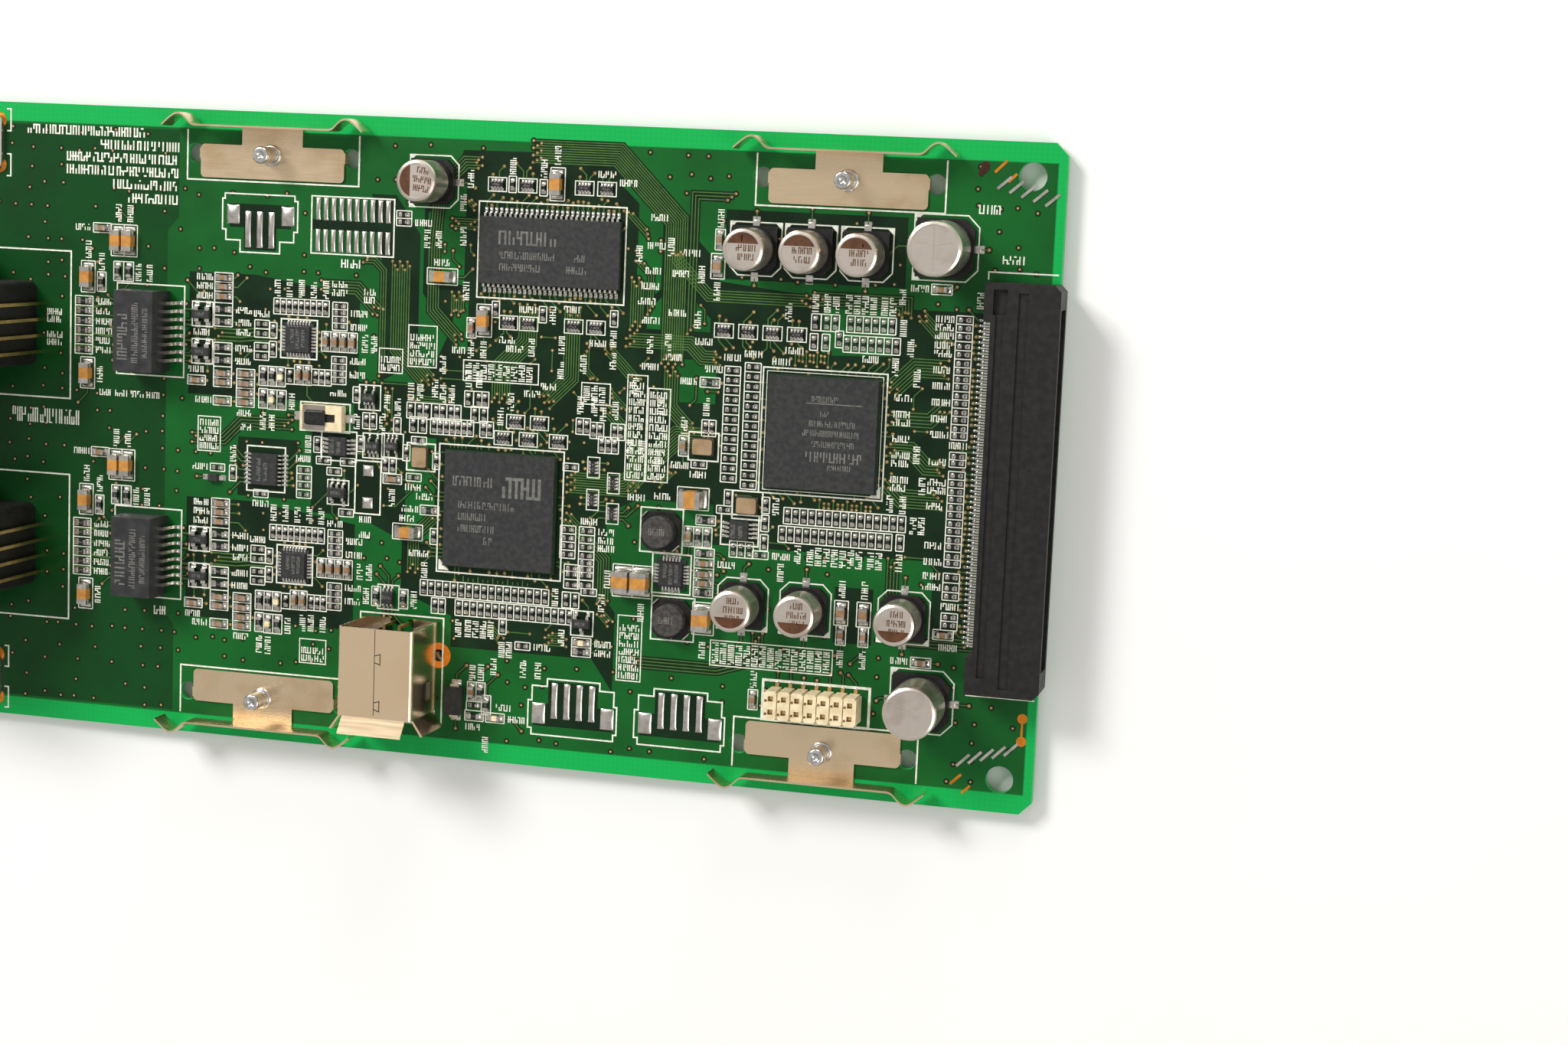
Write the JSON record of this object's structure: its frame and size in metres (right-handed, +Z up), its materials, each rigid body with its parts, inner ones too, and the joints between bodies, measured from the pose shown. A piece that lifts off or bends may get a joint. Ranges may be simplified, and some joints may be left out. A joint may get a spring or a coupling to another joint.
{
  "type": "network interface circuit board",
  "caption": "Green circuit board with network jacks, a square serial socket, a long card connector, chips, can capacitors, ground springs and a push button.",
  "frame": {"origin": "centre of the bounding box in x and y, at the lowest rivet heads and pin tips under the board", "axes": "+X along the board from the network jacks to the card connector, +Y from the front edge to the rear edge, +Z up from the component side"},
  "size_m": [0.187, 0.0976, 0.0256],
  "materials": {
    "board_mask": "glossy green solder mask over glass-fibre laminate",
    "spring_metal": "rolled nickel silver, lightly stained",
    "rivet_metal": "bright, dimpled by the setting tool",
    "black_moulding": "matt black moulding",
    "black_gloss_moulding": "satin black moulding",
    "chip_moulding": "fine matt epoxy moulding",
    "transformer_moulding": "satin black moulding",
    "tinned_lead": "dull tin plating",
    "bright_solder": "bright solder coating",
    "contact_gold": "gold flash over nickel",
    "nickel_shell": "polished nickel plating",
    "can_aluminium": "drawn aluminium, brushed top",
    "carrier_laminate": "dark green laminate edge",
    "cream_moulding": "cream heat-resistant moulding",
    "cover_steel": "pressed stainless steel",
    "button_moulding": "smooth black moulding",
    "ferrite": "dark grey sintered ferrite",
    "oscillator_lid": "satin gold-plated lid",
    "ceramic_black": "dark ceramic",
    "resistor_body": "black glass over white ceramic",
    "capacitor_ceramic": "tan brown ceramic",
    "capacitor_ceramic_orange": "orange tan ceramic",
    "indicator_resin": "clear to milky resin",
    "terminal_steel": "tinned steel"
  },
  "bodies": {
    "board": {"buffer_chips": "chip_moulding", "buffer_chips_leads": "tinned_lead", "capacitor_large_cans": "can_aluminium", "capacitor_leads": "tinned_lead", "capacitor_plinths": "black_moulding", "capacitor_small_cans": "can_aluminium", "card_connector_contacts": "tinned_lead", "card_connector_housing": "black_moulding", "chip_capacitor_ends": "bright_solder", "chip_capacitors": "capacitor_ceramic", "chip_resistor_ends": "bright_solder", "chip_resistors": "resistor_body", "circuit_board": "board_mask", "clamp_diodes": "chip_moulding", "clamp_diodes_leads": "tinned_lead", "flat_chip_lands": "tinned_lead", "flat_chips": "chip_moulding", "header_contacts": "contact_gold", "header_socket": "cream_moulding", "indicator_ends": "bright_solder", "indicator_lenses": "indicator_resin", "inductor_bases": "black_moulding", "inductor_clips": "bright_solder", "inductor_cores": "ferrite", "jack_front_contacts": "contact_gold", "jack_front_housing": "black_moulding", "jack_rear_contacts": "contact_gold", "jack_rear_housing": "black_moulding", "logic_chip_cap": "chip_moulding", "logic_chip_substrate": "carrier_laminate", "memory_chip": "chip_moulding", "memory_chip_leads": "tinned_lead", "oscillator_bases": "ceramic_black", "oscillator_lids": "oscillator_lid", "panel_terminals": "terminal_steel", "power_capacitor_ends": "bright_solder", "power_capacitors": "capacitor_ceramic_orange", "power_diode_leads": "tinned_lead", "power_diodes": "chip_moulding", "processor_cap": "chip_moulding", "processor_substrate": "carrier_laminate", "regulators": "chip_moulding", "regulators_leads": "tinned_lead", "resistor_array_ends": "bright_solder", "resistor_arrays": "resistor_body", "solder_pads": "bright_solder", "spring_front_left": "spring_metal", "spring_front_right": "spring_metal", "spring_rear_left": "spring_metal", "spring_rear_right": "spring_metal", "spring_rivets": "rivet_metal", "switch_contacts": "tinned_lead", "switch_cover": "cover_steel", "switch_housing": "cream_moulding", "transformers": "transformer_moulding", "transformers_leads": "bright_solder", "usb_contacts": "contact_gold", "usb_insulator": "black_gloss_moulding", "usb_shell": "nickel_shell"},
    "button": {"switch_button": "button_moulding"}
  },
  "joints": [
    {"name": "button_press", "type": "slide", "parent": "board", "child": "button", "axis": [0, 0, -1], "range_m": [0, 0.00025], "stiffness_N_per_m": 4000, "springref_m": -0.00005}
  ]
}
